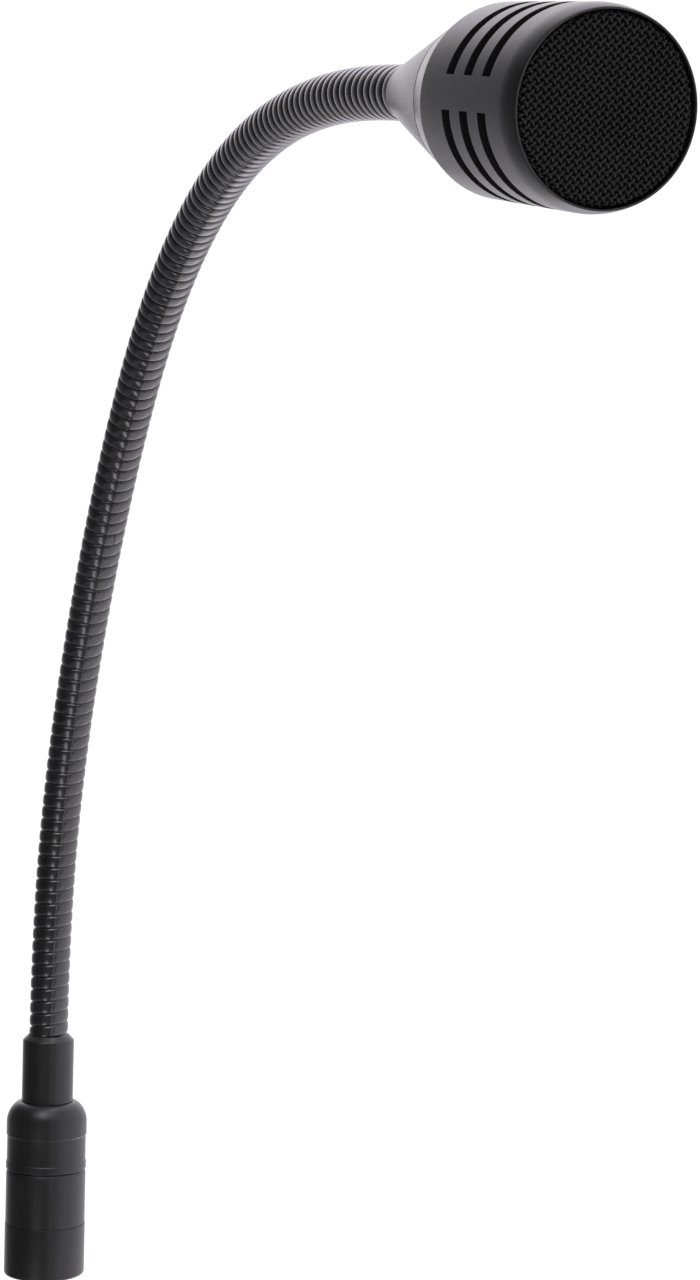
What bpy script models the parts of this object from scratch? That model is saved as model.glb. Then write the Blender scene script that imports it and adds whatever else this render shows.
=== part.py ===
"""Gooseneck podium microphone, modelled as the pieces it comes apart into.

Metres, +Z up. The origin is the centre of the plug's open end, +Z runs up the plug, and the neck
bends over so that the head faces -Y. Lengths below are in millimetres and angles in degrees.
"""

import math

import bmesh
import bpy
import numpy as np
from mathutils import Matrix, Vector
from mathutils.geometry import interpolate_bezier

MM = 0.001
GAP = 0.3  # clearance between neighbouring pieces

# Plug
PLUG_RADIUS = 9.5
PLUG_BORE = 8.1
SHELL_TOP = 24.9
GROOVE_HEIGHT = 12.3
NUT_TOP = 39.4
PIN_RADIUS = 1.2
PIN_CIRCLE = 4.1
PIN_ANGLES = (90.0, 210.0, 330.0)
CORE_RADIUS = 0.45

# Ferrule and neck
FERRULE_RADIUS = 5.9
FERRULE_TOP = 57.2
FERRULE_CHAMFER = 1.0
NECK_RADIUS = 4.65
NECK_GROOVE_RADIUS = 4.15
NECK_BORE = 2.7
NECK_LENGTH = 333.0
COIL_TURNS = 114
SEGMENTS = 12
NECK_BENDS = (5.0, 8.0, 7.5, 6.5, 7.0, 9.0, 11.5, 12.5, 12.5, 10.0, 7.0, 4.5)
NECK_LEAN = 9.0  # how far the bend's plane is turned at the foot; it falls to none half way up
NECK_TAIL = 12.0  # length of neck inside the ferrule
LEAD_RADIUS = 1.4
LEAD_FOOT = 28.5
LEAD_HEAD = 18.0  # how far the lead reaches into the head
PATH_STEP = 0.25
GUIDE_STEPS_A_POINT = 10
GUIDE_FOOT = -20.0  # arc length at which the curve that bends the coil starts
FLEX_SLOPE = math.tan(math.radians(15.0))  # end faces of the coil segments, for hinges of up to 30 degrees

# Head, measured forwards along its axis from the tip of the cone
CONE_TIP_RADIUS = 4.85
SEAM = 31.5
SEAM_RADIUS = 12.55
BODY_REAR = 32.5
SHOULDER = 39.1
BODY_RADIUS = 14.45
BODY_BORE = 12.6
ROUNDING_START = 67.8
HEAD_LENGTH = 72.1
FACE_RADIUS = 13.82
FACE_BORE = 13.5
SLOT_CENTRES = (48.8, 55.3, 61.8)
SLOT_WIDTH = 2.9
BRIDGE_ANGLE = 20.0
FIRST_BRIDGE = 178.0
CAPSULE_RADIUS = 10.4
DIAPHRAGM_RADIUS = 9.2

# Facets of a full turn
NECK_SIDES = 8
SMALL_SIDES = 10
INNER_SIDES = 16
OUTER_SIDES = 28


def clear_scene():
    for obj in list(bpy.data.objects):
        bpy.data.objects.remove(obj, do_unlink=True)


def new_collection(name):
    collection = bpy.data.collections.new(name)
    bpy.context.scene.collection.children.link(collection)
    return collection


def new_material(name, colour, roughness, metallic):
    material = bpy.data.materials.new(name)
    material.use_nodes = True
    shader = material.node_tree.nodes["Principled BSDF"]
    shader.inputs["Base Color"].default_value = (*colour, 1.0)
    shader.inputs["Roughness"].default_value = roughness
    shader.inputs["Metallic"].default_value = metallic
    material.diffuse_color = (*colour, 1.0)
    return material


def place(obj, collection, material=None, frame=None):
    """Links the object, gives it its material and moves it to its frame."""
    collection.objects.link(obj)
    if material is not None:
        obj.data.materials.append(material)
    if frame is not None:
        obj.matrix_world = frame
    return obj


def turned(name, outline, sides, closed=True):
    """A turned piece: the outline of (radius, height) pairs in mm runs down the outer side at +X."""
    mesh = bpy.data.meshes.new(name)
    count = len(outline)
    edges = [(i, (i + 1) % count) for i in range(count if closed else count - 1)]
    mesh.from_pydata([(r * MM, 0.0, z * MM) for r, z in outline], edges, [])
    obj = bpy.data.objects.new(name, mesh)
    screw = obj.modifiers.new("turn", "SCREW")
    screw.steps = sides
    screw.render_steps = sides
    screw.use_merge_vertices = True
    screw.merge_threshold = 0.00001
    return obj


def solid_turned(name, outline, sides):
    """A turned piece with no bore: the outline starts and ends on the axis."""
    return turned(name, outline, sides, closed=False)


def sleeve(name, bore, radius, low, high, sides):
    return turned(name, [(radius, high), (radius, low), (bore, low), (bore, high)], sides)


def disc(name, radius, low, high, sides):
    return solid_turned(name, [(0.0, high), (radius, high), (radius, low), (0.0, low)], sides)


def wire(name, points, radius):
    """A round wire through points in mm, with filled ends."""
    curve = bpy.data.curves.new(name, "CURVE")
    curve.dimensions = "3D"
    curve.bevel_depth = radius * MM
    curve.bevel_resolution = 2
    curve.use_fill_caps = True
    spline = curve.splines.new("POLY")
    spline.points.add(len(points) - 1)
    for point, target in zip(points, spline.points):
        target.co = (*(Vector(point) * MM), 1.0)
    return bpy.data.objects.new(name, curve)


def cut(obj, cutter, collection):
    """Cuts the object with a helper, which is kept hidden from the render."""
    cutter.hide_render = True
    cutter.display_type = "WIRE"
    if cutter.name not in collection.objects:
        collection.objects.link(cutter)
    boolean = obj.modifiers.new("cut_" + cutter.name, "BOOLEAN")
    boolean.operation = "DIFFERENCE"
    boolean.solver = "EXACT"
    boolean.object = cutter


def arc(centre, radius, start, end, count):
    """Points on a circle in the (radius, height) plane, from one angle to another."""
    angles = np.radians(np.linspace(start, end, count))
    return [(centre[0] + radius * math.cos(a), centre[1] + radius * math.sin(a)) for a in angles]


class NeckPath:
    """The neck's centre line: arc lengths from the ferrule's rim, points and directions, in mm."""

    def __init__(self):
        count = round(NECK_LENGTH / PATH_STEP)
        self.lengths = np.linspace(0.0, NECK_LENGTH, count + 1)
        knots = np.linspace(0.0, NECK_LENGTH, SEGMENTS + 1)
        tilt = np.radians(np.interp(self.lengths, knots, np.cumsum((0.0,) + NECK_BENDS)))
        lean = np.radians(np.interp(self.lengths, (0.0, NECK_LENGTH / 2), (NECK_LEAN, 0.0)))
        sideways = np.sin(tilt) * np.sin(lean)
        forwards = -np.sin(tilt) * np.cos(lean)
        self.directions = np.stack([sideways, forwards, np.cos(tilt)], axis=1)
        steps = (self.directions[:-1] + self.directions[1:]) / 2 * PATH_STEP
        rise = np.vstack([np.zeros(3), np.cumsum(steps, axis=0)])
        self.points = rise + np.array([0.0, 0.0, FERRULE_TOP])
        self.leans = lean

    def direction(self, length):
        index = int(np.clip(round(length / PATH_STEP), 0, len(self.lengths) - 1))
        return Vector(self.directions[index])

    def point(self, length):
        """The point at this arc length; before the foot and past the end the line runs straight on."""
        inside = min(max(length, 0.0), NECK_LENGTH)
        near = Vector([np.interp(inside, self.lengths, self.points[:, k]) for k in range(3)])
        return near + self.direction(inside) * (length - inside)

    def bend_axis(self, length):
        """The axis about which the neck bends in its own plane, square to its direction."""
        index = int(np.clip(round(length / PATH_STEP), 0, len(self.lengths) - 1))
        lean = self.leans[index]
        return Vector((math.cos(lean), math.sin(lean), 0.0))


def joint_lengths():
    """Arc lengths of the hinges: each coil segment is a whole number of turns."""
    pitch = NECK_LENGTH / COIL_TURNS
    return [pitch * math.ceil(COIL_TURNS * i / SEGMENTS) for i in range(SEGMENTS + 1)]


def empty(name, matrix, collection):
    obj = bpy.data.objects.new(name, None)
    obj.empty_display_type = "ARROWS"
    obj.empty_display_size = 0.01
    collection.objects.link(obj)
    obj.matrix_world = matrix
    return obj


def frame_at(point, x_axis, z_axis):
    """A right-handed frame with its origin at a point in mm."""
    x_axis = x_axis.normalized()
    y_axis = z_axis.cross(x_axis).normalized()
    rotation = Matrix((x_axis, y_axis, x_axis.cross(y_axis))).transposed()
    return Matrix.Translation(point * MM) @ rotation.to_4x4()


def attach(children, parent):
    """Parents the objects and leaves them where they are."""
    bpy.context.view_layer.update()
    for child in children:
        child.parent = parent
        child.matrix_parent_inverse = parent.matrix_world.inverted()


def plug_shell():
    outline = [(8.0, 32.0), (8.0, SHELL_TOP), (9.1, SHELL_TOP), (9.4, 24.3)]
    outline += [(9.4, GROOVE_HEIGHT + 0.2), (9.1, GROOVE_HEIGHT + 0.2), (9.1, GROOVE_HEIGHT - 0.2)]
    outline += [(PLUG_RADIUS, GROOVE_HEIGHT - 0.2), (PLUG_RADIUS, 0.4), (9.1, 0.0)]
    outline += [(PLUG_BORE, 0.0), (PLUG_BORE, 23.0), (6.9, 23.0), (6.9, 32.0)]
    return turned("plug_shell", outline, OUTER_SIDES)


def rear_nut():
    shoulder = arc((6.2, 36.1), 3.3, 90.0, 0.0, 7)
    outline = shoulder + [(PLUG_RADIUS, 33.4), (9.3, 33.2), (9.3, 27.1), (PLUG_RADIUS, 26.9)]
    outline += [(PLUG_RADIUS, 25.5), (9.2, 25.2), (8.3, 25.2), (8.3, 36.2), (7.9, 37.3), (6.2, 37.3)]
    return turned("rear_nut", outline, OUTER_SIDES)


def contact_insert(cutters):
    insert = disc("contact_insert", PLUG_BORE - GAP, 15.5, 21.5, INNER_SIDES)
    for number, angle in enumerate(PIN_ANGLES, 1):
        cutter = disc(f"pin_bore_{number}", PIN_RADIUS + GAP, 14.0, 23.0, SMALL_SIDES)
        cutter.location = pin_place(angle)
        cut(insert, cutter, cutters)
    return insert


def pin_place(angle):
    turn = math.radians(angle)
    return Vector((math.cos(turn), math.sin(turn), 0.0)) * PIN_CIRCLE * MM


def contact_pin(number, angle):
    """A contact pin with a rounded tip and a solder cup at its inner end."""
    outline = [(0.0, 22.4), (0.9, 22.4), (0.9, 24.0), (1.4, 24.0), (1.4, 21.8), (PIN_RADIUS, 21.8)]
    outline += [(PIN_RADIUS, 2.6), (0.7, 1.9), (0.0, 1.8)]
    pin = solid_turned(f"contact_pin_{number}", outline, SMALL_SIDES)
    pin.location = pin_place(angle)
    return pin


def core_wire(number, angle):
    """A core from a solder cup to the end of the lead."""
    cup = pin_place(angle) / MM
    centre = cup * (0.75 / PIN_CIRCLE)
    low = Vector((cup.x, cup.y, 22.9))
    high = Vector((centre.x, centre.y, LEAD_FOOT - GAP))
    points = interpolate_bezier(low, low + Vector((0, 0, 3)), high - Vector((0, 0, 2)), high, 9)
    return wire(f"core_wire_{number}", points, CORE_RADIUS)


def flat_sector(name, bore, radius, low, high, half_thickness, count):
    """A curve that fills out to a flat sector of a ring, between two angles, centred on the origin."""
    outline = bpy.data.curves.new(name, "CURVE")
    outline.dimensions = "2D"
    outline.fill_mode = "BOTH"
    outline.extrude = half_thickness * MM
    points = arc((0.0, 0.0), radius, low, high, count) + arc((0.0, 0.0), bore, high, low, count)
    spline = outline.splines.new("POLY")
    spline.points.add(len(points) - 1)
    for (x, y), target in zip(points, spline.points):
        target.co = (x * MM, y * MM, 0.0, 1.0)
    spline.use_cyclic_u = True
    return bpy.data.objects.new(name, outline)


def earth_tag():
    """A curved spring plate between the first pin's side and the shell."""
    spread = 35.0
    tag = flat_sector("earth_tag", 5.8, 7.7, PIN_ANGLES[0] - spread, PIN_ANGLES[0] + spread, 0.3, 9)
    tag.location.z = 22.2 * MM
    return tag


def clamp_collet():
    outline = [(4.2, 34.2), (6.4, 31.8), (6.4, 29.0), (1.7, 29.0), (1.7, 34.2)]
    return turned("clamp_collet", outline, INNER_SIDES)


def neck_ferrule():
    bore = NECK_RADIUS + GAP
    rim = FERRULE_TOP - FERRULE_CHAMFER
    outline = [(bore, FERRULE_TOP - 0.1), (FERRULE_RADIUS - 0.2, rim), (FERRULE_RADIUS, rim - 0.4)]
    outline += [(FERRULE_RADIUS, 37.0), (7.6, 37.0), (7.6, 34.6), (NECK_BORE, 34.6)]
    outline += [(NECK_BORE, 42.2), (bore, 42.2)]
    return turned("neck_ferrule", outline, OUTER_SIDES)


def neck_bush():
    """The bush brazed to the neck's lower end: a spigot inside the coil on a flange below it."""
    foot = FERRULE_TOP - NECK_TAIL - GAP
    outline = [(2.3, foot + 9.0), (2.3, foot), (NECK_RADIUS, foot), (NECK_RADIUS, 42.5)]
    outline += [(1.7, 42.5), (1.7, foot + 9.0)]
    return turned("neck_bush", outline, INNER_SIDES)


def coil_segment(number, start, end, guide):
    """A stretch of the ribbed neck, turned straight and then bent along the neck's path."""
    pitch = NECK_LENGTH / COIL_TURNS
    ends = []
    for length, side in ((end, -1.0), (start, 1.0)):
        lip = (NECK_BORE, length + side * (NECK_BORE * FLEX_SLOPE + 0.02))
        edge = (NECK_GROOVE_RADIUS, length + side * (NECK_GROOVE_RADIUS * FLEX_SLOPE + 0.02))
        ends.append((lip, edge))
    (top_lip, top_edge), (low_lip, low_edge) = ends
    if number == SEGMENTS:
        top_lip, top_edge = (NECK_BORE, end - GAP), (NECK_GROOVE_RADIUS, end - GAP)
    if number == 1:
        low_lip, low_edge = (NECK_BORE, -NECK_TAIL), (NECK_GROOVE_RADIUS, -NECK_TAIL)
    outline = [top_lip, top_edge]
    for turn in range(round((end - start) / pitch), 0, -1):
        outline.append((NECK_RADIUS, start + (turn - 0.5) * pitch))
        if turn > 1 or number == 1:
            outline.append((NECK_GROOVE_RADIUS, start + (turn - 1) * pitch))
    outline += [low_edge, low_lip]
    middle = (start + end) / 2
    outline += [(NECK_BORE, middle - pitch), (NECK_BORE, middle + pitch)]
    outline = [(radius, length - GUIDE_FOOT) for radius, length in outline]
    segment = turned(f"neck_coil_{number:02d}", outline, NECK_SIDES)
    bend = segment.modifiers.new("follow_neck", "CURVE")
    bend.object = guide
    bend.deform_axis = "POS_Z"
    return segment


def neck_guide(path, guides):
    """The hidden curve that the coil segments are bent along."""
    curve = bpy.data.curves.new("neck_guide", "CURVE")
    curve.dimensions = "3D"
    curve.twist_mode = "MINIMUM"
    lengths = [GUIDE_FOOT] + list(path.lengths[::GUIDE_STEPS_A_POINT]) + [NECK_LENGTH + 20.0]
    spline = curve.splines.new("POLY")
    spline.points.add(len(lengths) - 1)
    for length, target in zip(lengths, spline.points):
        target.co = (*(path.point(length) * MM), 1.0)
    guide = bpy.data.objects.new("neck_guide", curve)
    guide.hide_render = True
    guide.display_type = "WIRE"
    guides.objects.link(guide)
    return guide


def lead_piece(number, start, end, path):
    """A stretch of the lead in the neck's bore, from hinge to hinge."""
    clear = 0.45
    low = start + clear if number > 1 else LEAD_FOOT - FERRULE_TOP
    high = end - clear if number < SEGMENTS else end + LEAD_HEAD
    count = max(5, round((high - low) / 7.0) + 1)
    points = [path.point(length) for length in np.linspace(low, high, count)]
    return wire(f"lead_{number:02d}", points, LEAD_RADIUS)


def rear_cone():
    outline = [(SEAM_RADIUS, SEAM), (CONE_TIP_RADIUS, 0.2), (4.65, 0.0), (2.7, 0.0), (2.7, 3.0)]
    outline += [(4.6, 3.0), (4.6, 14.0), (6.2, 14.0), (9.3, 24.3), (9.3, SEAM)]
    return turned("rear_cone", outline, OUTER_SIDES)


def head_collar():
    """The collar brazed to the neck's upper end, screwed into the cone."""
    outline = [(4.3, 12.5), (4.3, 3.3), (2.3, 3.3), (2.3, -9.0), (1.7, -9.0), (1.7, 12.5)]
    return turned("head_collar", outline, INNER_SIDES)


def seam_gasket():
    return sleeve("seam_gasket", 9.4, 12.2, SEAM + GAP, BODY_REAR - GAP, OUTER_SIDES)


def slot_cutter(row, group):
    """A flat sector as deep as the wall, which leaves a bridge at each end."""
    low = FIRST_BRIDGE + 120.0 * group + BRIDGE_ANGLE / 2
    high = low + 120.0 - BRIDGE_ANGLE
    flat = flat_sector("slot_outline", BODY_BORE - 1.5, BODY_RADIUS + 1.5, low, high, SLOT_WIDTH / 2, 11)
    bpy.context.scene.collection.objects.link(flat)
    graph = bpy.context.evaluated_depsgraph_get()
    mesh = bpy.data.meshes.new_from_object(flat.evaluated_get(graph))
    bpy.data.objects.remove(flat)
    mesh.transform(Matrix.Translation((0.0, 0.0, SLOT_CENTRES[row] * MM)))
    weld_mesh(mesh)
    return bpy.data.objects.new(f"slot_{row + 1}_{group + 1}", mesh)


def weld_mesh(mesh):
    """Joins the caps of a filled curve to its sides and turns every face outwards."""
    work = bmesh.new()
    work.from_mesh(mesh)
    bmesh.ops.remove_doubles(work, verts=work.verts, dist=0.00001)
    bmesh.ops.recalc_face_normals(work, faces=work.faces)
    work.to_mesh(mesh)
    work.free()


def head_body(cutters, frame):
    """The slotted body: a spigot for the cone, a conical rear, a straight barrel and a rounded front."""
    drop = BODY_RADIUS - FACE_RADIUS
    run = HEAD_LENGTH - ROUNDING_START
    radius = (run * run + drop * drop) / (2 * drop)
    sweep = math.degrees(math.asin(run / radius))
    outline = arc((BODY_RADIUS - radius, ROUNDING_START), radius, sweep, 0.0, 6)
    outline += [(BODY_RADIUS, SHOULDER), (12.75, BODY_REAR), (9.0, BODY_REAR), (9.0, 25.0), (8.0, 25.0)]
    outline += [(8.0, 33.5), (BODY_BORE, 42.0), (BODY_BORE, 68.0)]
    outline += [(FACE_BORE, 68.0), (FACE_BORE, HEAD_LENGTH)]
    body = turned("head_body", outline, OUTER_SIDES)
    for row in range(len(SLOT_CENTRES)):
        for group in range(3):
            cutter = slot_cutter(row, group)
            cutter.matrix_world = frame
            cut(body, cutter, cutters)
    return body


def capsule_housing():
    outline = [(CAPSULE_RADIUS, 66.5), (CAPSULE_RADIUS, 50.0), (1.5, 50.0)]
    outline += [(1.5, 50.8), (9.8, 50.8), (9.8, 66.5)]
    return turned("capsule_housing", outline, INNER_SIDES)


def mount_ring(end, low):
    """A rubber ring that holds the capsule in the body."""
    return sleeve(f"mount_ring_{end}", 10.7, 11.7, low, low + 3.0, INNER_SIDES)


def yoke():
    outline = [(0.0, 53.5), (5.8, 53.5), (5.8, 58.5), (7.0, 58.5), (7.0, 52.0), (0.0, 52.0)]
    return solid_turned("yoke", outline, INNER_SIDES)


def diaphragm():
    """A thin domed disc with a rolled surround, a third of a millimetre thick."""
    outer = [(0.0, 62.6), (2.8, 62.2), (4.9, 61.1), (7.0, 61.7), (DIAPHRAGM_RADIUS, 61.1)]
    inner = [(radius, height - 0.3) for radius, height in reversed(outer)]
    return solid_turned("diaphragm", outer + inner, INNER_SIDES)


def front_plate(cutters, frame):
    """The resonator plate over the diaphragm, with a ring of holes."""
    plate = disc("front_plate", 9.5, 63.5, 64.3, INNER_SIDES)
    hole_count = 6
    for number in range(hole_count):
        turn = math.tau * number / hole_count
        cutter = disc(f"plate_hole_{number + 1}", 1.1, 62.8, 65.0, SMALL_SIDES)
        offset = Vector((math.cos(turn), math.sin(turn), 0.0)) * 5.4 * MM
        cutter.matrix_world = frame @ Matrix.Translation(offset)
        cut(plate, cutter, cutters)
    return plate


def mesh_grille():
    """The mesh cap as one plain pan: a flat face with its edge turned back."""
    outline = [(0.0, 72.0), (12.8, 72.0), (13.2, 71.6), (13.2, 69.7), (12.5, 69.7), (12.5, 71.2), (0.0, 71.2)]
    return solid_turned("mesh_grille", outline, OUTER_SIDES)


def head_wire(number):
    """A lead-out wire from the end of the lead to the terminal board."""
    side = 1.0 if number == 1 else -1.0
    low = Vector((side * 0.7, 0.0, LEAD_HEAD + GAP))
    high = Vector((side * 3.0, 1.5, 46.7))
    points = interpolate_bezier(low, low + Vector((0, 0, 10)), high - Vector((0, 0, 12)), high, 12)
    return wire(f"head_wire_{number}", points, CORE_RADIUS)


def main():
    clear_scene()
    parts = new_collection("gooseneck_microphone")
    helpers = new_collection("cutters_and_guides")

    black_metal = new_material("black_metal", (0.012, 0.012, 0.013), 0.42, 0.6)
    coil_steel = new_material("coil_steel", (0.015, 0.015, 0.016), 0.38, 0.8)
    bright_steel = new_material("bright_steel", (0.6, 0.6, 0.6), 0.3, 1.0)
    pin_silver = new_material("pin_silver", (0.75, 0.74, 0.7), 0.22, 1.0)
    black_plastic = new_material("black_plastic", (0.02, 0.02, 0.02), 0.5, 0.0)
    black_rubber = new_material("black_rubber", (0.015, 0.015, 0.015), 0.8, 0.0)
    black_cloth = new_material("black_cloth", (0.01, 0.01, 0.01), 0.95, 0.0)
    black_foam = new_material("black_foam", (0.012, 0.012, 0.012), 0.98, 0.0)
    mesh_wire = new_material("mesh_wire", (0.02, 0.02, 0.021), 0.4, 0.7)
    copper = new_material("copper", (0.75, 0.35, 0.2), 0.35, 1.0)
    board_green = new_material("board_green", (0.03, 0.12, 0.05), 0.5, 0.0)
    film = new_material("film", (0.7, 0.66, 0.5), 0.3, 0.0)

    path = NeckPath()
    joints = joint_lengths()
    guide = neck_guide(path, helpers)
    head_direction = path.direction(NECK_LENGTH)
    head_frame = frame_at(path.point(NECK_LENGTH), path.bend_axis(NECK_LENGTH), head_direction)

    plug = [
        place(plug_shell(), parts, black_metal),
        place(rear_nut(), parts, black_metal),
        place(contact_insert(helpers), parts, black_plastic),
        place(earth_tag(), parts, bright_steel),
        place(clamp_collet(), parts, black_plastic),
        place(neck_ferrule(), parts, black_metal),
        place(neck_bush(), parts, bright_steel),
    ]
    for number, angle in enumerate(PIN_ANGLES, 1):
        plug.append(place(contact_pin(number, angle), parts, pin_silver))
        plug.append(place(core_wire(number, angle), parts, copper))

    segments = []
    for number in range(1, SEGMENTS + 1):
        start, end = joints[number - 1], joints[number]
        coil = place(coil_segment(number, start, end, guide), parts, coil_steel)
        lead = place(lead_piece(number, start, end, path), parts, black_rubber)
        segments.append([coil, lead])

    head = [
        place(rear_cone(), parts, black_metal, head_frame),
        place(head_collar(), parts, bright_steel, head_frame),
        place(seam_gasket(), parts, black_rubber, head_frame),
        place(head_body(helpers, head_frame), parts, black_metal, head_frame),
        place(sleeve("cloth_sleeve", 12.0, 12.3, 43.5, 67.0, INNER_SIDES), parts, black_cloth, head_frame),
        place(capsule_housing(), parts, bright_steel, head_frame),
        place(mount_ring("rear", 51.0), parts, black_rubber, head_frame),
        place(mount_ring("front", 62.0), parts, black_rubber, head_frame),
        place(yoke(), parts, bright_steel, head_frame),
        place(disc("magnet", 4.4, 53.8, 57.0, INNER_SIDES), parts, bright_steel, head_frame),
        place(disc("pole_piece", 4.4, 57.3, 58.8, INNER_SIDES), parts, bright_steel, head_frame),
        place(front_plate(helpers, head_frame), parts, bright_steel, head_frame),
        place(disc("terminal_board", 6.0, 47.0, 48.0, INNER_SIDES), parts, board_green, head_frame),
        place(sleeve("mesh_ring", 12.3, 13.2, 68.3, 69.4, OUTER_SIDES), parts, black_metal, head_frame),
        place(disc("foam_disc", 12.0, 68.3, 70.9, INNER_SIDES), parts, black_foam, head_frame),
        place(mesh_grille(), parts, mesh_wire, head_frame),
        place(head_wire(1), parts, copper, head_frame),
        place(head_wire(2), parts, copper, head_frame),
    ]
    moving_cone = [
        place(diaphragm(), parts, film, head_frame),
        place(sleeve("voice_coil", 4.9, 5.3, 55.5, 60.5, INNER_SIDES), parts, copper, head_frame),
    ]

    axes = [empty("plug_axis", Matrix.Identity(4), helpers)]
    for number, length in enumerate(joints[1:-1], 1):
        bend_axis, direction = path.bend_axis(length), path.direction(length)
        kind = "bend" if number % 2 else "sway"
        hinge = bend_axis if kind == "bend" else direction.cross(bend_axis)
        matrix = frame_at(path.point(length), hinge, direction)
        axes.append(empty(f"neck_{kind}_{(number + 1) // 2}_axis", matrix, helpers))
    axes.append(empty("diaphragm_axis", head_frame, helpers))

    for lower, upper in zip(axes, axes[1:]):
        attach([upper], lower)
    groups = [plug + segments[0]] + segments[1:-1] + [segments[-1] + head, moving_cone]
    for members, axis in zip(groups, axes):
        attach(members, axis)


main()
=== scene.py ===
import math

import bmesh
import bpy
import numpy as np
from mathutils import Matrix, Vector


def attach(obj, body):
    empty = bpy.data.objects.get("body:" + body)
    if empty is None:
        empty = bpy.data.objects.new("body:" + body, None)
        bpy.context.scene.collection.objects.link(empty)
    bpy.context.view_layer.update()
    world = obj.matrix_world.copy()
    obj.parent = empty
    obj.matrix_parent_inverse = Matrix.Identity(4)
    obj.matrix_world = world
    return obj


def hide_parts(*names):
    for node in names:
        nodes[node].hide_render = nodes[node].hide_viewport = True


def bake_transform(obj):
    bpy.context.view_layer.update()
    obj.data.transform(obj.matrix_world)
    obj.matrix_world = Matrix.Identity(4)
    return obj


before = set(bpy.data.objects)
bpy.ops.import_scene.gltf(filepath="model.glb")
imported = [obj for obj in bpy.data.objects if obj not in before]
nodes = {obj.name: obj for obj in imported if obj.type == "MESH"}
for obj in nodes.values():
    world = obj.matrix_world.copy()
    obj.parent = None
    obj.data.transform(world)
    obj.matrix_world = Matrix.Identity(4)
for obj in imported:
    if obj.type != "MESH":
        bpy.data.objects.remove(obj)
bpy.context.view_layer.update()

# Lengths are in millimetres and angles in degrees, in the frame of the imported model.
MM = 0.001
scene = bpy.context.scene

# ---------------------------------------------------------------- camera
CAMERA_PLACE = (-157.08, -604.07, 168.55)
CAMERA_RIGHT = (0.9336, -0.35759, 0.02293)
CAMERA_BACK = (-0.35812, -0.93333, 0.0253)
LENS = 73.41


def placed(point, x_axis, y_axis, z_axis):
    """The matrix of an object at this point in mm, with these axes."""
    return Matrix.Translation(Vector(point) * MM) @ Matrix((x_axis, y_axis, z_axis)).transposed().to_4x4()


back = Vector(CAMERA_BACK).normalized()
right = Vector(CAMERA_RIGHT)
right = (right - back * right.dot(back)).normalized()
up = back.cross(right)
camera_data = bpy.data.cameras.new("camera")
camera_data.lens = LENS
camera_data.sensor_fit = "AUTO"
camera_data.sensor_width = 36.0
camera_data.clip_start = 0.01
camera_data.clip_end = 50.0
camera = bpy.data.objects.new("camera", camera_data)
scene.collection.objects.link(camera)
camera.matrix_world = placed(CAMERA_PLACE, right, up, back)
scene.camera = camera

# ---------------------------------------------------------------- the neck's centre line, as in the CAD
NECK_LENGTH = 333.0
COIL_TURNS = 114
SEGMENTS = 12
PITCH = NECK_LENGTH / COIL_TURNS
FERRULE_TOP = 57.2
NECK_TAIL = 12.0  # the coil runs this far down into the ferrule
NECK_BENDS = (5.0, 8.0, 7.5, 6.5, 7.0, 9.0, 11.5, 12.5, 12.5, 10.0, 7.0, 4.5)
NECK_LEAN = 9.0
PATH_STEP = 0.25

path_lengths = np.linspace(0.0, NECK_LENGTH, round(NECK_LENGTH / PATH_STEP) + 1)
tilt_stations = np.linspace(0.0, NECK_LENGTH, SEGMENTS + 1)
tilts = np.radians(np.interp(path_lengths, tilt_stations, np.cumsum((0.0,) + NECK_BENDS)))
leans = np.radians(np.interp(path_lengths, (0.0, NECK_LENGTH / 2), (NECK_LEAN, 0.0)))
path_directions = np.stack(
    [np.sin(tilts) * np.sin(leans), -np.sin(tilts) * np.cos(leans), np.cos(tilts)], axis=1)
path_steps = (path_directions[:-1] + path_directions[1:]) / 2 * PATH_STEP
path_points = np.vstack([np.zeros(3), np.cumsum(path_steps, axis=0)])
path_points = path_points + np.array([0.0, 0.0, FERRULE_TOP])


def along_neck(lengths):
    """Points, directions and sideways axes of the centre line, at arc lengths that may run past its ends."""
    lengths = np.asarray(lengths, float)
    inside = np.clip(lengths, 0.0, NECK_LENGTH)
    points, directions = (
        np.stack([np.interp(inside, path_lengths, values[:, k]) for k in range(3)], axis=-1)
        for values in (path_points, path_directions))
    directions /= np.linalg.norm(directions, axis=-1, keepdims=True)
    lean = np.interp(inside, path_lengths, leans)
    sideways = np.stack([np.cos(lean), np.sin(lean), np.zeros_like(lean)], axis=-1)
    return points + directions * (lengths - inside)[..., None], directions, sideways


def joint_length(index):
    """Arc length of the cut between two of the CAD's neck segments, at a whole number of turns."""
    return PITCH * math.ceil(COIL_TURNS * index / SEGMENTS)


head_points, head_directions, head_sides = along_neck([NECK_LENGTH])
head_z = Vector(head_directions[0]).normalized()
head_x = Vector(head_sides[0])
head_y = head_z.cross(head_x).normalized()
HEAD = placed(head_points[0], head_x, head_y, head_z)


# ---------------------------------------------------------------- materials
DRIFT_SCALE = 90.0
TURNING_SCALE = 5200.0
FIBRE_SCALE = 9000.0
CELL_SCALE = 2600.0


def tree(name):
    """A new material with its nodes, links and shader."""
    material = bpy.data.materials.new(name)
    material.use_nodes = True
    nodes_, links = material.node_tree.nodes, material.node_tree.links
    return material, nodes_, links, nodes_["Principled BSDF"]


def math_node(nodes_, links, operation, first, second=None):
    node = nodes_.new("ShaderNodeMath")
    node.operation = operation
    for socket, value in zip(node.inputs, (first, second)):
        if isinstance(value, (int, float)):
            socket.default_value = value
        elif value is not None:
            links.new(value, socket)
    return node.outputs[0]


def noise(nodes_, links, source, scale, detail=3.0, dimensions="3D"):
    texture = nodes_.new("ShaderNodeTexNoise")
    texture.noise_dimensions = dimensions
    texture.inputs["Scale"].default_value = scale
    texture.inputs["Detail"].default_value = detail
    links.new(source, texture.inputs["W" if dimensions == "1D" else "Vector"])
    return texture.outputs["Fac"]


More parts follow.
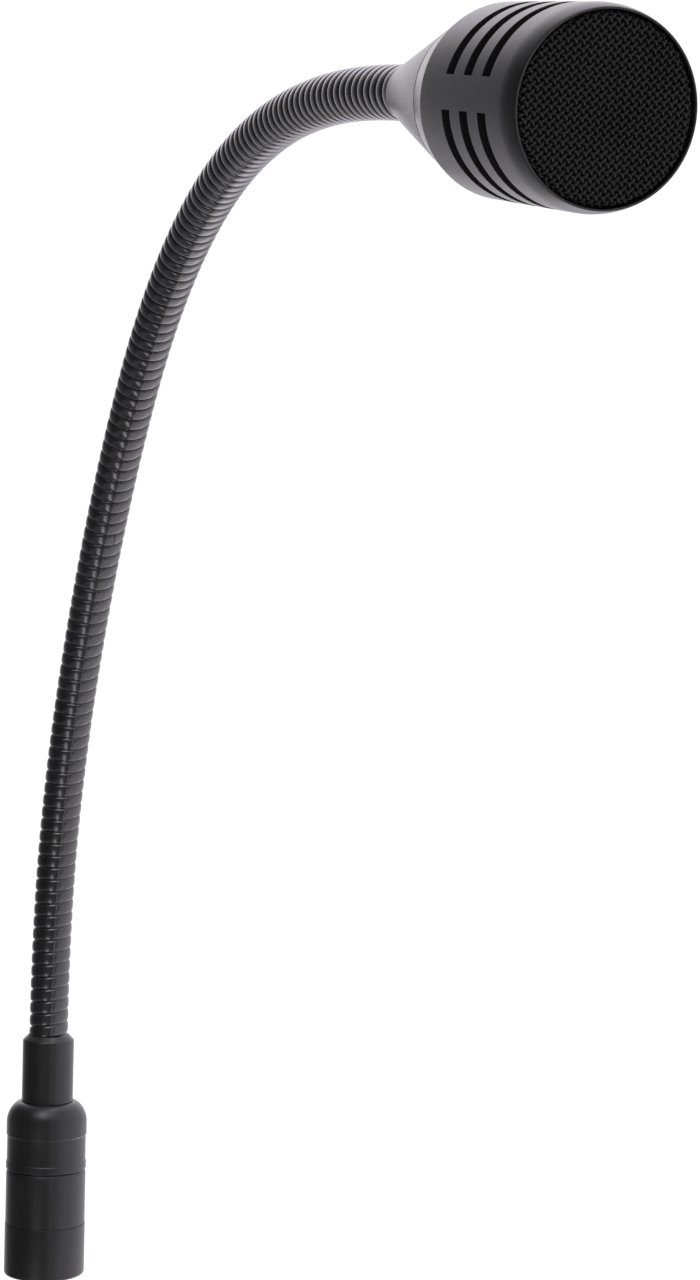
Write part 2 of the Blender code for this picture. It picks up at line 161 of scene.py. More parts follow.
def ranged(nodes_, links, value, low, high, from_low=0.3, from_high=0.7):
    node = nodes_.new("ShaderNodeMapRange")
    node.inputs["From Min"].default_value = from_low
    node.inputs["From Max"].default_value = from_high
    node.inputs["To Min"].default_value = low
    node.inputs["To Max"].default_value = high
    links.new(value, node.inputs["Value"])
    return node.outputs["Result"]


def blended(nodes_, links, factor, low, high):
    node = nodes_.new("ShaderNodeMix")
    node.data_type = "RGBA"
    node.inputs["A"].default_value = (*low, 1.0)
    node.inputs["B"].default_value = (*high, 1.0)
    links.new(factor, node.inputs["Factor"])
    return node.outputs["Result"]


def bumped(nodes_, links, height, distance, strength, before=None):
    node = nodes_.new("ShaderNodeBump")
    node.inputs["Strength"].default_value = strength
    node.inputs["Distance"].default_value = distance * MM
    links.new(height, node.inputs["Height"])
    if before is not None:
        links.new(before, node.inputs["Normal"])
    return node.outputs["Normal"]


def coated(name, tone, roughness, grain, depth, marks=0.0, metallic=0.0, spread=0.25, ior=1.5):
    """A coated or bare surface with a slight drift of tone, a fine grain and turning marks along local Z."""
    material, nodes_, links, shader = tree(name)
    place = nodes_.new("ShaderNodeTexCoord").outputs["Object"]
    broad = noise(nodes_, links, place, DRIFT_SCALE)
    fine = noise(nodes_, links, place, grain, 4.0)
    dark = [c * (1.0 - spread) for c in tone]
    light = [c * (1.0 + spread) for c in tone]
    colour = blended(nodes_, links, ranged(nodes_, links, broad, 0.0, 1.0), dark, light)
    links.new(colour, shader.inputs["Base Color"])
    links.new(ranged(nodes_, links, fine, roughness - 0.04, roughness + 0.05), shader.inputs["Roughness"])
    normal = bumped(nodes_, links, fine, depth, 0.35)
    if marks:
        split = nodes_.new("ShaderNodeSeparateXYZ")
        links.new(place, split.inputs["Vector"])
        turning = noise(nodes_, links, split.outputs["Z"], TURNING_SCALE, 2.0, "1D")
        normal = bumped(nodes_, links, turning, marks, 0.3, normal)
    links.new(normal, shader.inputs["Normal"])
    shader.inputs["Metallic"].default_value = metallic
    shader.inputs["IOR"].default_value = ior
    return material


def weave_height(nodes_, links, across, along, pitch):
    """Height of a plain weave from two coordinates in metres."""
    turns = math.pi / (pitch * MM)
    waves = [math_node(nodes_, links, "SINE", math_node(nodes_, links, "MULTIPLY", value, turns))
             for value in (across, along)]
    return math_node(nodes_, links, "ABSOLUTE", math_node(nodes_, links, "MULTIPLY", *waves))


def woven(name, tone, pitch, radius):
    """Thin woven cloth rolled round local Z, with painted shade darkening the low parts of its weave."""
    material, nodes_, links, shader = tree(name)
    place = nodes_.new("ShaderNodeTexCoord").outputs["Object"]
    split = nodes_.new("ShaderNodeSeparateXYZ")
    links.new(place, split.inputs["Vector"])
    turn = math_node(nodes_, links, "ARCTAN2", split.outputs["Y"], split.outputs["X"])
    length = math_node(nodes_, links, "MULTIPLY", turn, radius * MM)
    height = weave_height(nodes_, links, length, split.outputs["Z"], pitch)
    # painted shade: where the weave is low, between the threads, the colour drops to three tenths of the tone
    colour = blended(nodes_, links, height, [c * 0.3 for c in tone], tone)
    links.new(colour, shader.inputs["Base Color"])
    fibre = noise(nodes_, links, place, FIBRE_SCALE)
    links.new(ranged(nodes_, links, fibre, 0.82, 0.98), shader.inputs["Roughness"])
    links.new(bumped(nodes_, links, height, 0.08, 0.8), shader.inputs["Normal"])
    shader.inputs["Sheen Weight"].default_value = 0.15
    shader.inputs["Sheen Roughness"].default_value = 0.5
    return material


def open_cell(name, tone):
    """Reticulated foam: round cells, with painted shade darkening their pits."""
    material, nodes_, links, shader = tree(name)
    place = nodes_.new("ShaderNodeTexCoord").outputs["Object"]
    cells = nodes_.new("ShaderNodeTexVoronoi")
    cells.inputs["Scale"].default_value = CELL_SCALE
    links.new(place, cells.inputs["Vector"])
    height = cells.outputs["Distance"]
    # painted shade: the pits of the cells are darkened to a fifth of the tone
    depth = ranged(nodes_, links, height, 0.0, 1.0, 0.1, 0.6)
    colour = blended(nodes_, links, depth, [c * 0.2 for c in tone], tone)
    links.new(colour, shader.inputs["Base Color"])
    shader.inputs["Roughness"].default_value = 0.95
    links.new(bumped(nodes_, links, height, 0.15, 0.9), shader.inputs["Normal"])
    return material


head_black = coated("head_black", (0.0078, 0.0078, 0.0083), 0.30, 3800.0, 0.004, marks=0.0012)
plug_black = coated("plug_black", (0.0076, 0.0076, 0.0079), 0.31, 3200.0, 0.005, marks=0.0015)
ferrule_black = coated("ferrule_black", (0.0076, 0.0076, 0.0079), 0.30, 3200.0, 0.005, marks=0.0015)
neck_black = coated("neck_black", (0.0075, 0.0075, 0.0077), 0.15, 2600.0, 0.002, ior=1.73)
mesh_black = coated("mesh_black", (0.0085, 0.0085, 0.0088), 0.42, 5000.0, 0.004, ior=1.32)
plastic = coated("black_plastic", (0.018, 0.018, 0.018), 0.5, 1800.0, 0.01)
rubber = coated("black_rubber", (0.012, 0.012, 0.012), 0.78, 1500.0, 0.012)
steel = coated("bright_steel", (0.56, 0.56, 0.55), 0.3, 1400.0, 0.004, marks=0.001, metallic=1.0, spread=0.08)
silver = coated("pin_silver", (0.74, 0.73, 0.69), 0.2, 1600.0, 0.002, marks=0.0008, metallic=1.0, spread=0.05)
copper = coated("copper", (0.74, 0.36, 0.2), 0.32, 1500.0, 0.003, metallic=1.0, spread=0.1)
insulation = coated("wire_insulation", (0.25, 0.02, 0.02), 0.45, 1200.0, 0.006)
board = coated("board_green", (0.02, 0.11, 0.045), 0.42, 1200.0, 0.006)
film = coated("film", (0.55, 0.5, 0.38), 0.28, 900.0, 0.01)
cloth = woven("black_cloth", (0.024, 0.023, 0.017), 0.32, 12.15)
foam = open_cell("black_foam", (0.026, 0.026, 0.026))


# ---------------------------------------------------------------- mesh tools
SHARP_ANGLE = 35.0


def new_piece(name, points, faces, material, matrix=None):
    """A mesh piece from points in mm."""
    mesh = bpy.data.meshes.new(name)
    mesh.from_pydata((np.asarray(points, float) * MM).tolist(), [], faces)
    mesh.materials.append(material)
    mesh.shade_smooth()
    mesh.set_sharp_from_angle(angle=math.radians(SHARP_ANGLE))
    obj = bpy.data.objects.new(name, mesh)
    scene.collection.objects.link(obj)
    if matrix is not None:
        obj.matrix_world = matrix
    return obj


def filleted(corners, closed=True, steps=4):
    """Rounds the corners of an outline: each corner is (radius, height, fillet)."""
    points = []
    count = len(corners)
    for index, (r, z, fillet) in enumerate(corners):
        here = np.array([r, z])
        if fillet <= 0 or (not closed and index in (0, count - 1)):
            points.append((r, z))
            continue
        before = np.array(corners[index - 1][:2]) - here
        after = np.array(corners[(index + 1) % count][:2]) - here
        reach_before, reach_after = np.linalg.norm(before), np.linalg.norm(after)
        before, after = before / reach_before, after / reach_after
        half = math.acos(float(np.clip(before @ after, -1, 1))) / 2
        run = min(fillet / math.tan(half), reach_before * 0.49, reach_after * 0.49)
        start, end = here + before * run, here + after * run
        for t in np.linspace(0, 1, steps + 1):
            # a quadratic curve is close enough to the arc at this size
            points.append(tuple((1 - t) ** 2 * start + 2 * t * (1 - t) * here + t * t * end))
    return points


def lathe(name, outline, material, sides=192, closed=True, matrix=None):
    """Turns an outline that runs down the outer side; an open outline starts and ends on the axis."""
    outline = np.array(outline, float)
    turn = np.linspace(0, math.tau, sides, endpoint=False)
    points, rings = [], []
    for r, z in outline:
        if r < 1e-6:
            rings.append([len(points)] * sides)
            points.append((0.0, 0.0, z))
        else:
            rings.append(list(range(len(points), len(points) + sides)))
            points.extend(zip(r * np.cos(turn), r * np.sin(turn), np.full(sides, z)))
    faces = []
    count = len(rings)
    for k in range(count if closed else count - 1):
        upper, lower = rings[k], rings[(k + 1) % count]
        for i in range(sides):
            j = (i + 1) % sides
            loop = [upper[i], lower[i], lower[j], upper[j]]
            loop = [v for n, v in enumerate(loop) if v not in loop[:n]]
            if len(loop) > 2:
                faces.append(loop)
    return new_piece(name, points, faces, material, matrix)


def arc(centre, radius, start, end, count):
    angles = np.radians(np.linspace(start, end, count))
    return [(centre[0] + radius * math.cos(a), centre[1] + radius * math.sin(a)) for a in angles]


def tube_faces(count, size):
    """Faces of a closed tube through this many rings of points, with its two end caps."""
    index = np.arange(count * size).reshape(count, size).tolist()
    faces = []
    for low, high in zip(index, index[1:]):
        for j in range(size):
            k = (j + 1) % size
            faces.append((low[j], low[k], high[k], high[j]))
    return faces + [tuple(index[0][::-1]), tuple(index[-1])]


# ---------------------------------------------------------------- plug
shell = [(8.0, 32.0, 0), (8.0, 25.06, 0.05), (9.15, 25.06, 0.1), (9.42, 24.4, 0.25)]
shell += [(9.42, 12.4, 0.1), (9.27, 12.4, 0.04), (9.27, 12.18, 0.04), (9.5, 12.18, 0.1)]
shell += [(9.5, 0.0, 0.75), (8.1, 0.0, 0.25), (8.1, 23.0, 0.1), (6.9, 23.0, 0), (6.9, 32.0, 0)]
plug_sleeve = lathe("plug_sleeve", filleted(shell, steps=6), plug_black)
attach(plug_sleeve, "plug")
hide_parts("plug_shell")

SHOULDER_RADIUS = 6.3
SHOULDER_REACH = 3.2
SHOULDER_FOOT = 36.3
SHOULDER_HEIGHT = 5.0
SHOULDER_POWER = 1.3
nut = [(6.12, SHOULDER_FOOT + SHOULDER_HEIGHT, 0.03)]
for a in np.radians(np.linspace(88.0, 0.0, 24)):
    nut.append((SHOULDER_RADIUS + SHOULDER_REACH * math.cos(a) ** SHOULDER_POWER,
                SHOULDER_FOOT + SHOULDER_HEIGHT * math.sin(a), 0.0))
nut += [(9.5, 33.5, 0.12), (9.32, 33.3, 0.1), (9.32, 27.15, 0.1), (9.5, 26.95, 0.15)]
nut += [(9.5, 25.45, 0.15), (9.25, 25.2, 0.08), (8.3, 25.2, 0), (8.3, 36.2, 0), (7.9, 37.3, 0), (6.12, 37.3, 0)]
plug_nut = lathe("plug_nut", filleted(nut), plug_black)
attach(plug_nut, "plug")
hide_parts("rear_nut")

ferrule = [(4.72, FERRULE_TOP, 0.06), (6.06, FERRULE_TOP - 1.3, 0.55), (6.06, 37.0, 0), (7.6, 37.0, 0)]
ferrule += [(7.6, 34.6, 0), (2.7, 34.6, 0), (2.7, 42.2, 0), (4.72, 42.2, 0)]
neck_socket = lathe("neck_socket", filleted(ferrule, steps=8), ferrule_black)
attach(neck_socket, "plug")
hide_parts("neck_ferrule")

PIN_CIRCLE = 4.1
PIN_ANGLES = (90.0, 210.0, 330.0)
pin = [(0.0, 22.4, 0), (0.9, 22.4, 0), (0.9, 24.0, 0.05), (1.4, 24.0, 0.1), (1.4, 21.8, 0.1)]
pin += [(1.2, 21.8, 0), (1.2, 2.9, 0.9), (0.55, 1.8, 0.4), (0.0, 1.8, 0)]
for number, angle in enumerate(PIN_ANGLES, 1):
    turn = math.radians(angle)
    spot = Matrix.Translation(Vector((math.cos(turn), math.sin(turn), 0.0)) * PIN_CIRCLE * MM)
    contact = lathe(f"pin_{number}", filleted(pin, closed=False, steps=6), silver, 40, closed=False, matrix=spot)
    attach(contact, "plug")
    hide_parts(f"contact_pin_{number}")


# ---------------------------------------------------------------- neck
# The coil's phase, and how many turns its ridges are shifted by at arc lengths along the neck.
COIL_PHASE = 0.4
COIL_DRIFT = ((0, 0.1), (70, 0.45), (130, 0.65), (205, -0.1), (240, -0.6), (280, -1.45), (333, -1.6))
DRIFT_WINDOW = 121
STEPS_A_TURN = 40
CREST_RADIUS = 4.6
GROOVE_WIDTH = 0.26
CREST_DROP = 0.14
EDGE_DROP = 0.2
COIL_BORE = 3.3
GROOVE_RADIUS = 4.14
SECTION_POINTS = 17
GROOVE_GAP = 0.02
PIECE_GAP = 0.01
CONE_GAP = 0.06

drift = np.interp(path_lengths, *zip(*COIL_DRIFT))
smoothing = np.ones(DRIFT_WINDOW) / DRIFT_WINDOW
drift = np.convolve(np.pad(drift, DRIFT_WINDOW // 2, mode="edge"), smoothing, mode="valid")
local_pitch = 1.0 / (1.0 / PITCH - np.gradient(drift, path_lengths))


def wound(profile, start, end):
    """A wire of this section wound round the neck: profile points are (radius, offset along the neck)."""
    profile = np.array(profile, float)
    count = max(2, int(round((end - start) / PITCH * STEPS_A_TURN))) + 1
    lengths = np.linspace(start, end, count)
    turn = math.tau * (lengths / PITCH + COIL_PHASE - np.interp(lengths, path_lengths, drift))
    stretch = (np.interp(lengths, path_lengths, local_pitch) / PITCH)[:, None]
    at = np.clip(lengths[:, None] + profile[None, :, 1] * stretch, -NECK_TAIL, NECK_LENGTH - CONE_GAP)
    points, directions, sideways = along_neck(at)
    third = np.cross(directions, sideways)
    radius = profile[None, :, 0, None]
    rings = points + radius * (np.cos(turn)[:, None, None] * sideways + np.sin(turn)[:, None, None] * third)
    return rings.reshape(-1, 3), tube_faces(count, len(profile))


def combined(pieces):
    """Several sets of points and faces as one."""
    points, faces, base = [], [], 0
    for new_points, new_faces in pieces:
        points.append(new_points)
        faces.extend(tuple(v + base for v in face) for face in new_faces)
        base += len(new_points)
    return np.vstack(points), faces


band_half = (PITCH - GROOVE_WIDTH) / 2
lip_edge = band_half + GROOVE_WIDTH - GROOVE_GAP
band_section = [(COIL_BORE, -band_half), (COIL_BORE, lip_edge)]
band_section += [(GROOVE_RADIUS, lip_edge), (GROOVE_RADIUS, band_half)]
for share in np.linspace(1.0, -1.0, SECTION_POINTS):
    # the points lie closer together towards the band's edges
    share = math.copysign(abs(share) ** 0.85, share)
    crown = CREST_RADIUS - CREST_DROP * abs(share) ** 2.2 - EDGE_DROP * abs(share) ** 8
    band_section.append((crown, share * band_half))

middles = [(joint_length(i) + joint_length(i + 1)) / 2 for i in range(SEGMENTS)]
coil_starts = [-NECK_TAIL - band_half + 0.1] + [middle + PIECE_GAP for middle in middles[1:-1]]
coil_ends = [middle - PIECE_GAP for middle in middles[1:-1]] + [NECK_LENGTH + band_half - 0.16]
for number, (start, end) in enumerate(zip(coil_starts, coil_ends), 1):
    points, faces = wound(band_section, start, end)
    coil = new_piece(f"coil_{number:02d}", points, faces, neck_black)
    low, high = along_neck([middles[number - 1], middles[number]])[0] * MM
    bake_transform(coil)
    replaced = [f"neck_coil_{number:02d}"] + ([f"neck_coil_{SEGMENTS}"] if number == SEGMENTS - 1 else [])
    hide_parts(*replaced)

# ---------------------------------------------------------------- head
SIDES = 180
cone = [(12.58, 31.7, 0.12), (4.85, 0.15, 0.2), (4.75, 0.0, 0.05), (2.7, 0.0, 0), (2.7, 3.0, 0), (4.6, 3.0, 0)]
cone += [(4.6, 14.0, 0), (6.2, 14.0, 0), (9.3, 24.3, 0), (9.3, 31.7, 0)]
tail_cone = lathe("tail_cone", filleted(cone), head_black, SIDES, matrix=HEAD)
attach(tail_cone, "head")
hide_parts("rear_cone")

seal = [(12.35, 31.93, 0.03), (12.35, 31.72, 0.03), (9.4, 31.72, 0), (9.4, 31.93, 0)]
seam_seal = lathe("seam_seal", filleted(seal, steps=2), rubber, SIDES, matrix=HEAD)
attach(seam_seal, "head")
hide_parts("seam_gasket")

SLOT_CENTRES = (48.8, 55.3, 61.8)
SLOT_WIDTH = 2.9
BRIDGE_ANGLE = 20.0
FIRST_BRIDGE = 178.0
BODY_RADIUS = 14.45
BODY_BORE = 12.6
FACE_RADIUS = 13.82
ROUNDING_START = 67.8
HEAD_LENGTH = 72.1
LIP_HEIGHT = 0.08
SLOT_GROUPS = 3
SLOT_CORE = 0.7  # rows at this distance from a slot's middle line


def slotted_body():
    """A turned shell whose barrel rows skip the slots; walls join the outer and inner skins round each slot."""
    drop, run = BODY_RADIUS - FACE_RADIUS, HEAD_LENGTH - LIP_HEIGHT - ROUNDING_START
    nose_radius = (run * run + drop * drop) / (2 * drop)
    sweep = math.degrees(math.asin(run / nose_radius))
    nose = arc((BODY_RADIUS - nose_radius, ROUNDING_START), nose_radius, sweep, 0.0, 10)
    rows = []
    for centre in SLOT_CENTRES:
        rows += [centre - SLOT_WIDTH / 2, centre - SLOT_CORE, centre + SLOT_CORE, centre + SLOT_WIDTH / 2]
    lip = [(13.5, 68.0, 0), (13.5, HEAD_LENGTH, 0.05), (FACE_RADIUS - 0.05, HEAD_LENGTH, 0.05)]
    rear = [(BODY_RADIUS, 45.0, 0), (BODY_RADIUS, 39.1, 0.12), (12.62, 31.95, 0.1), (9.0, 31.95, 0)]
    outline = filleted(lip, closed=False)[1:] + nose
    outline += [(BODY_RADIUS, z) for z in reversed(rows)]
    outer_at = {z: len(outline) - 1 - n for n, z in enumerate(rows)}
    outline += filleted(rear, closed=False)
    outline += [(9.0, 25.0), (8.0, 25.0), (8.0, 33.5), (BODY_BORE, 42.0)]
    inner_at = {z: len(outline) + n for n, z in enumerate(rows)}
    outline += [(BODY_BORE, z) for z in rows]
    outline += [(BODY_BORE, 68.0), (13.5, 68.0)]
    turn = np.radians(np.arange(SIDES) * 360.0 / SIDES)
    outline = np.array(outline)
    radii, heights = outline[:, :1], np.repeat(outline[:, 1:], SIDES, axis=1)
    rings = np.stack([radii * np.cos(turn), radii * np.sin(turn), heights], axis=-1)

    def vertex(k, i):
        return k * SIDES + i % SIDES

    open_cells = set()
    walls = []
    step = 360.0 / SIDES
    share = 360.0 / SLOT_GROUPS
    for row in range(len(SLOT_CENTRES)):
        zs = rows[row * 4:row * 4 + 4]
        for group in range(SLOT_GROUPS):
            first = int(round((FIRST_BRIDGE + share * group + BRIDGE_ANGLE / 2) / step))
            last = int(round((FIRST_BRIDGE + share * (group + 1) - BRIDGE_ANGLE / 2) / step))
            for i in range(first, last):
                for z in zs[:-1]:
                    open_cells.add((outer_at[z] - 1, i % SIDES))
                    open_cells.add((inner_at[z], i % SIDES))
                o, n = outer_at[zs[0]], inner_at[zs[0]]
                walls.append((vertex(o, i), vertex(n, i), vertex(n, i + 1), vertex(o, i + 1)))
                o, n = outer_at[zs[-1]], inner_at[zs[-1]]
                walls.append((vertex(o, i + 1), vertex(n, i + 1), vertex(n, i), vertex(o, i)))
            for z, after in zip(zs, zs[1:]):
                o, n, o2, n2 = outer_at[z], inner_at[z], outer_at[after], inner_at[after]
                walls.append((vertex(o, first), vertex(o2, first), vertex(n2, first), vertex(n, first)))
                walls.append((vertex(o, last), vertex(n, last), vertex(n2, last), vertex(o2, last)))
    faces = []
    for k in range(len(outline)):
        after = (k + 1) % len(outline)
        for i in range(SIDES):
            if (k, i) not in open_cells:
                faces.append((vertex(k, i), vertex(after, i), vertex(after, i + 1), vertex(k, i + 1)))
    return rings.reshape(-1, 3), faces + walls


points, faces = slotted_body()
barrel = new_piece("barrel", points, faces, head_black, HEAD)
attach(barrel, "head")
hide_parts("head_body")

sleeve = [(12.3, 67.0), (12.3, 43.5), (12.0, 43.5), (12.0, 67.0)]
lining = lathe("slot_lining", sleeve, cloth, SIDES, matrix=HEAD)
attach(lining, "head")
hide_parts("cloth_sleeve")

# ---------------------------------------------------------------- woven mesh
MESH_PITCH = 0.83
MESH_WIRE = 0.235
MESH_ANGLES = (42.0, 135.0)
MESH_CRIMPS = (0.6, 1.3)
MESH_FLAT = 12.33
MESH_FOLD = 0.6
MESH_BACK = 0.7
MESH_HEIGHT = 71.62
MESH_STEPS = 6
WIRE_SIDES = 8


def woven_mesh():
    """Crimped wires of a plain weave, one set straighter than the other, folded back round the rim."""
    reach = MESH_FLAT + MESH_FOLD * math.pi / 2 + MESH_BACK
    pieces = []
    count = int(reach / MESH_PITCH)
    turns = [math.radians(angle) for angle in MESH_ANGLES]
    runs = [np.array([math.cos(a), math.sin(a)]) for a in turns]
    normals = [np.array([-math.sin(turns[0]), math.cos(turns[0])]),
               np.array([math.sin(turns[1]), -math.cos(turns[1])])]
    for direction in (0, 1):
        for line in range(-count, count + 1):
            offset = (line + 0.5) * MESH_PITCH
            if abs(offset) > reach - 0.6:
                continue
            long = math.sqrt(reach * reach - offset * offset)
            t = np.arange(-long, long, MESH_PITCH / MESH_STEPS)
            flat = t[:, None] * runs[direction] + offset * normals[direction]
            sign = 1.0 if (line + direction) % 2 else -1.0
            crossing = flat @ normals[1 - direction] / MESH_PITCH
            crimp = sign * MESH_CRIMPS[direction] * MESH_WIRE * np.cos(math.pi * (crossing - 0.5))
            rho = np.hypot(flat[:, 0], flat[:, 1])
            out = flat / rho[:, None]
            bend = np.clip((rho - MESH_FLAT) / MESH_FOLD, 0, math.pi / 2)
            radial = np.minimum(rho, MESH_FLAT) + MESH_FOLD * np.sin(bend)
            drop = MESH_FOLD * (1 - np.cos(bend)) + np.maximum(0, rho - MESH_FLAT - MESH_FOLD * math.pi / 2)
            normal = np.stack([out[:, 0] * np.sin(bend), out[:, 1] * np.sin(bend), np.cos(bend)], axis=1)
            centre = np.stack([out[:, 0] * radial, out[:, 1] * radial, MESH_HEIGHT - drop], axis=1)
            centre = centre + normal * crimp[:, None]
            tangent = np.gradient(centre, axis=0)
            tangent /= np.linalg.norm(tangent, axis=1, keepdims=True)
            side = np.cross(tangent, normal)
            side /= np.linalg.norm(side, axis=1, keepdims=True)
            lift = np.cross(side, tangent)
            turn = np.linspace(0, math.tau, WIRE_SIDES, endpoint=False)[None, :, None]
            ring = centre[:, None] + MESH_WIRE * (np.cos(turn) * side[:, None] + np.sin(turn) * lift[:, None])
            pieces.append((ring.reshape(-1, 3), tube_faces(len(t), WIRE_SIDES)))
    return combined(pieces)


points, faces = woven_mesh()
mesh_cap = new_piece("mesh_cap", points, faces, mesh_black, HEAD)
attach(mesh_cap, "head")
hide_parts("mesh_grille")

disc = filleted([(0.0, 70.9, 0), (12.0, 70.9, 0.5), (12.0, 68.3, 0.5), (0.0, 68.3, 0)], closed=False)
pad = lathe("wind_foam", disc, foam, 96, closed=False, matrix=HEAD)
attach(pad, "head")
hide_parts("foam_disc")

# ---------------------------------------------------------------- carried-over CAD nodes
FINISHES = (
    (plastic, ["contact_insert", "clamp_collet"]),
    (rubber, ["mount_ring_rear", "mount_ring_front"] + [f"lead_{i:02d}" for i in range(1, SEGMENTS + 1)]),
    (steel, ["earth_tag", "neck_bush", "head_collar", "capsule_housing", "yoke", "magnet", "pole_piece",
             "front_plate"]),
    (copper, ["core_wire_1", "core_wire_2", "core_wire_3", "voice_coil"]),
    (insulation, ["head_wire_1", "head_wire_2"]),
    (board, ["terminal_board"]),
    (film, ["diaphragm"]),
    (head_black, ["mesh_ring"]),
)
for material, names in FINISHES:
    for name in names:
        nodes[name].data.materials.clear()
        nodes[name].data.materials.append(material)

# ---------------------------------------------------------------- studio
world = bpy.data.worlds.new("studio")
world.use_nodes = True
background = world.node_tree.nodes["Background"]
background.inputs["Color"].default_value = (1.0, 1.0, 1.0, 1.0)
background.inputs["Strength"].default_value = 1.05
scene.world = world
scene.view_settings.view_transform = "Standard"


# A round light tent that only reflections see. Each band gives its brightness by direction, as (azimuth from
# +Y towards +X, level), and TENT_STEPS gives the elevations over which each band turns into the next.
TENT_CENTRE = (0.0, -100.0, 150.0)
TENT_RADIUS = 2500.0
TENT_PEAK = 5.0
TENT_TINT = (1.02, 0.985, 1.05)
TENT_STEPS = ((-82, -72), (-56, -44), (-36, -20), (-8, 14), (28, 54), (66, 84))
TENT_NADIR = (
    (-180, 0.3), (-100, 0.15), (-30, 0.15), (15, 0.9), (40, 1.4), (75, 1.4), (120, 1.2), (150, 1.0),
    (165, 0.6), (180, 0.3))
TENT_BOTTOM = (
    (-180, 0.3), (-160, 0.3), (-146, 0.7), (-136, 2.2), (-129, 3.8), (-122, 2.0), (-113, 0.4), (-95, 0.2),
    (-45, 0.2), (-15, 0.6), (12, 0.8), (24, 1.8), (45, 2.1), (75, 1.7), (130, 1.3), (160, 1.2),
    (168, 1.1), (176, 0.3), (180, 0.3))
TENT_BELOW = (
    (-180, 0.22), (-160, 0.25), (-152, 0.4), (-145, 1.6), (-139, 2.8), (-132, 1.6), (-124, 0.4), (-105, 0.28),
    (-45, 0.28), (-20, 0.6), (5, 1.2), (20, 2.8), (50, 2.6), (80, 1.7), (120, 1.3), (160, 1.2),
    (168, 0.9), (176, 0.22), (180, 0.22))
TENT_LOW = (
    (-180, 0.20), (-150, 0.25), (-130, 0.20), (-110, 0.06), (-75, 0.05), (-50, 0.14), (-38, 0.22), (-25, 0.4),
    (-10, 0.75), (5, 1.1), (20, 1.0), (45, 1.05), (75, 1.33), (105, 1.33), (125, 1.15), (148, 1.0),
    (158, 0.75), (168, 0.35), (176, 0.2), (180, 0.20))
TENT_HIGH = (
    (-180, 0.22), (-150, 0.25), (-110, 0.08), (-75, 0.05), (-50, 0.08), (-38, 0.12), (-28, 0.2), (-18, 0.45),
    (-8, 1.1), (2, 1.7), (12, 1.65), (25, 1.55), (45, 1.4), (75, 1.33), (105, 1.33), (125, 1.15),
    (148, 1.0), (158, 0.75), (168, 0.35), (176, 0.22), (180, 0.22))
TENT_ABOVE = (
    (-180, 1.5), (-160, 3.0), (-143, 4.6), (-128, 2.4), (-110, 0.3), (-85, 0.2), (-50, 0.3), (-20, 1.0),
    (0, 1.7), (60, 1.6), (100, 1.2), (135, 0.9), (165, 0.9), (180, 1.5))
TENT_TOP = ((-180, 1.2), (-90, 0.7), (0, 1.2), (180, 1.2))


def on_stage(obj, glossy_only):
    scene.collection.objects.link(obj)
    if glossy_only:
        obj.visible_camera = False
        obj.visible_diffuse = False
        obj.visible_shadow = False
        obj.visible_transmission = False
        obj.visible_volume_scatter = False
    return obj


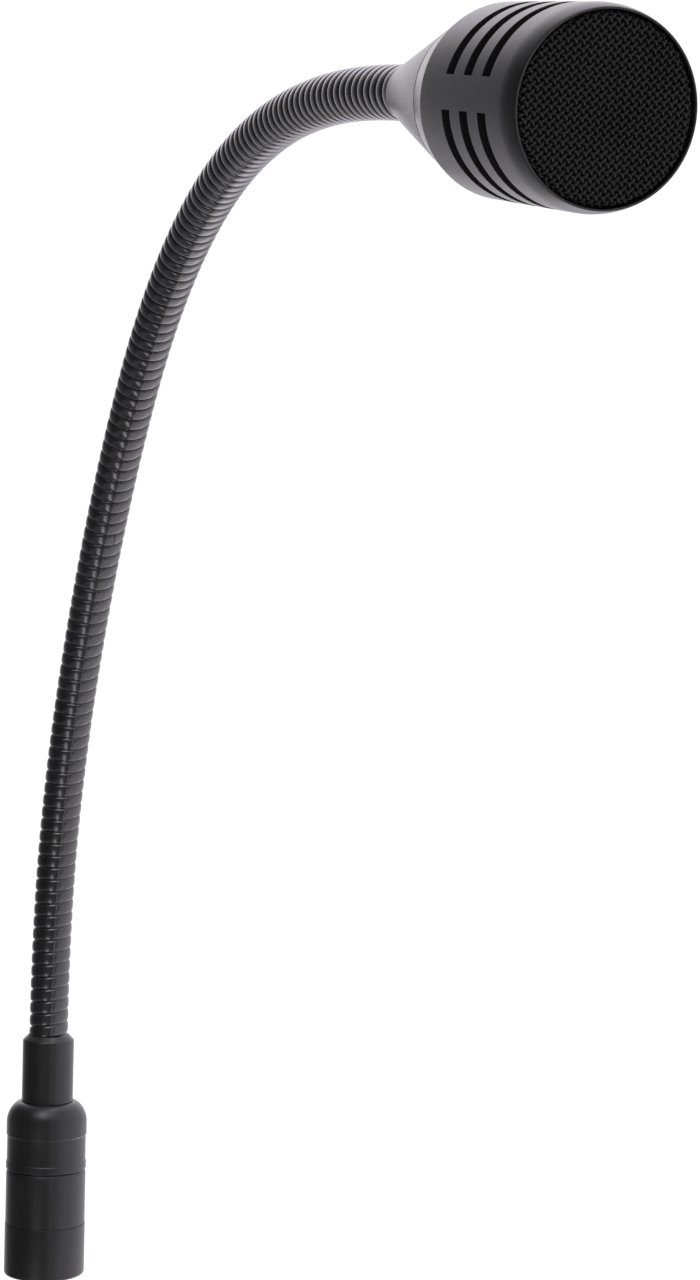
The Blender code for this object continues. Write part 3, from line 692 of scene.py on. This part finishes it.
def light_tent():
    work = bmesh.new()
    bmesh.ops.create_icosphere(work, subdivisions=5, radius=TENT_RADIUS * MM)
    mesh = bpy.data.meshes.new("light_tent")
    work.to_mesh(mesh)
    work.free()
    material, nodes_, links, shader = tree("light_tent")
    nodes_.remove(shader)
    place = nodes_.new("ShaderNodeTexCoord").outputs["Object"]
    unit = nodes_.new("ShaderNodeVectorMath")
    unit.operation = "NORMALIZE"
    links.new(place, unit.inputs[0])
    split = nodes_.new("ShaderNodeSeparateXYZ")
    links.new(unit.outputs["Vector"], split.inputs["Vector"])
    azimuth = math_node(nodes_, links, "ARCTAN2", split.outputs["X"], split.outputs["Y"])
    share = math_node(nodes_, links, "MULTIPLY_ADD", azimuth, 1.0 / math.tau)
    share.node.inputs[2].default_value = 0.5
    levels = []
    for stops in (TENT_NADIR, TENT_BOTTOM, TENT_BELOW, TENT_LOW, TENT_HIGH, TENT_ABOVE, TENT_TOP):
        ramp = nodes_.new("ShaderNodeValToRGB")
        ramp.color_ramp.interpolation = "EASE"
        elements = ramp.color_ramp.elements
        for index, (degrees, level) in enumerate(stops):
            position = (degrees + 180.0) / 360.0
            element = elements[0] if index == 0 else elements.new(position)
            element.position = position
            element.color = (*(level / TENT_PEAK * part for part in TENT_TINT), 1.0)
        links.new(share, ramp.inputs["Fac"])
        levels.append(ramp.outputs["Color"])
    colour = levels[0]
    for level, (start, end) in zip(levels[1:], TENT_STEPS):
        weight = nodes_.new("ShaderNodeMapRange")
        weight.interpolation_type = "SMOOTHSTEP"
        weight.inputs["From Min"].default_value = math.sin(math.radians(start))
        weight.inputs["From Max"].default_value = math.sin(math.radians(end))
        links.new(split.outputs["Z"], weight.inputs["Value"])
        mix = nodes_.new("ShaderNodeMix")
        mix.data_type = "RGBA"
        links.new(weight.outputs["Result"], mix.inputs["Factor"])
        links.new(colour, mix.inputs["A"])
        links.new(level, mix.inputs["B"])
        colour = mix.outputs["Result"]
    emission = nodes_.new("ShaderNodeEmission")
    emission.inputs["Strength"].default_value = TENT_PEAK
    links.new(colour, emission.inputs["Color"])
    links.new(emission.outputs["Emission"], nodes_["Material Output"].inputs["Surface"])
    material.cycles.emission_sampling = "NONE"
    mesh.materials.append(material)
    obj = on_stage(bpy.data.objects.new("light_tent", mesh), True)
    obj.location = Vector(TENT_CENTRE) * MM


# The plug sits in a socket, so the floor lies low enough for the head to bend down past the plug's end.
FLOOR_HEIGHT = -38.0
FLOOR_HALF = 4000.0


def floor():
    half, corners = FLOOR_HALF * MM, ((-1, -1), (1, -1), (1, 1), (-1, 1))
    mesh = bpy.data.meshes.new("floor")
    mesh.from_pydata([(x * half, y * half, FLOOR_HEIGHT * MM) for x, y in corners], [], [(0, 1, 2, 3)])
    material, _, _, shader = tree("pale_floor")
    shader.inputs["Base Color"].default_value = (0.9, 0.9, 0.9, 1.0)
    shader.inputs["Roughness"].default_value = 0.9
    shader.inputs["Specular IOR Level"].default_value = 0.0
    shader.inputs["Emission Color"].default_value = (1.0, 1.0, 1.0, 1.0)
    shader.inputs["Emission Strength"].default_value = 0.15
    mesh.materials.append(material)
    obj = on_stage(bpy.data.objects.new("floor", mesh), False)
    obj.visible_glossy = False


light_tent()
floor()
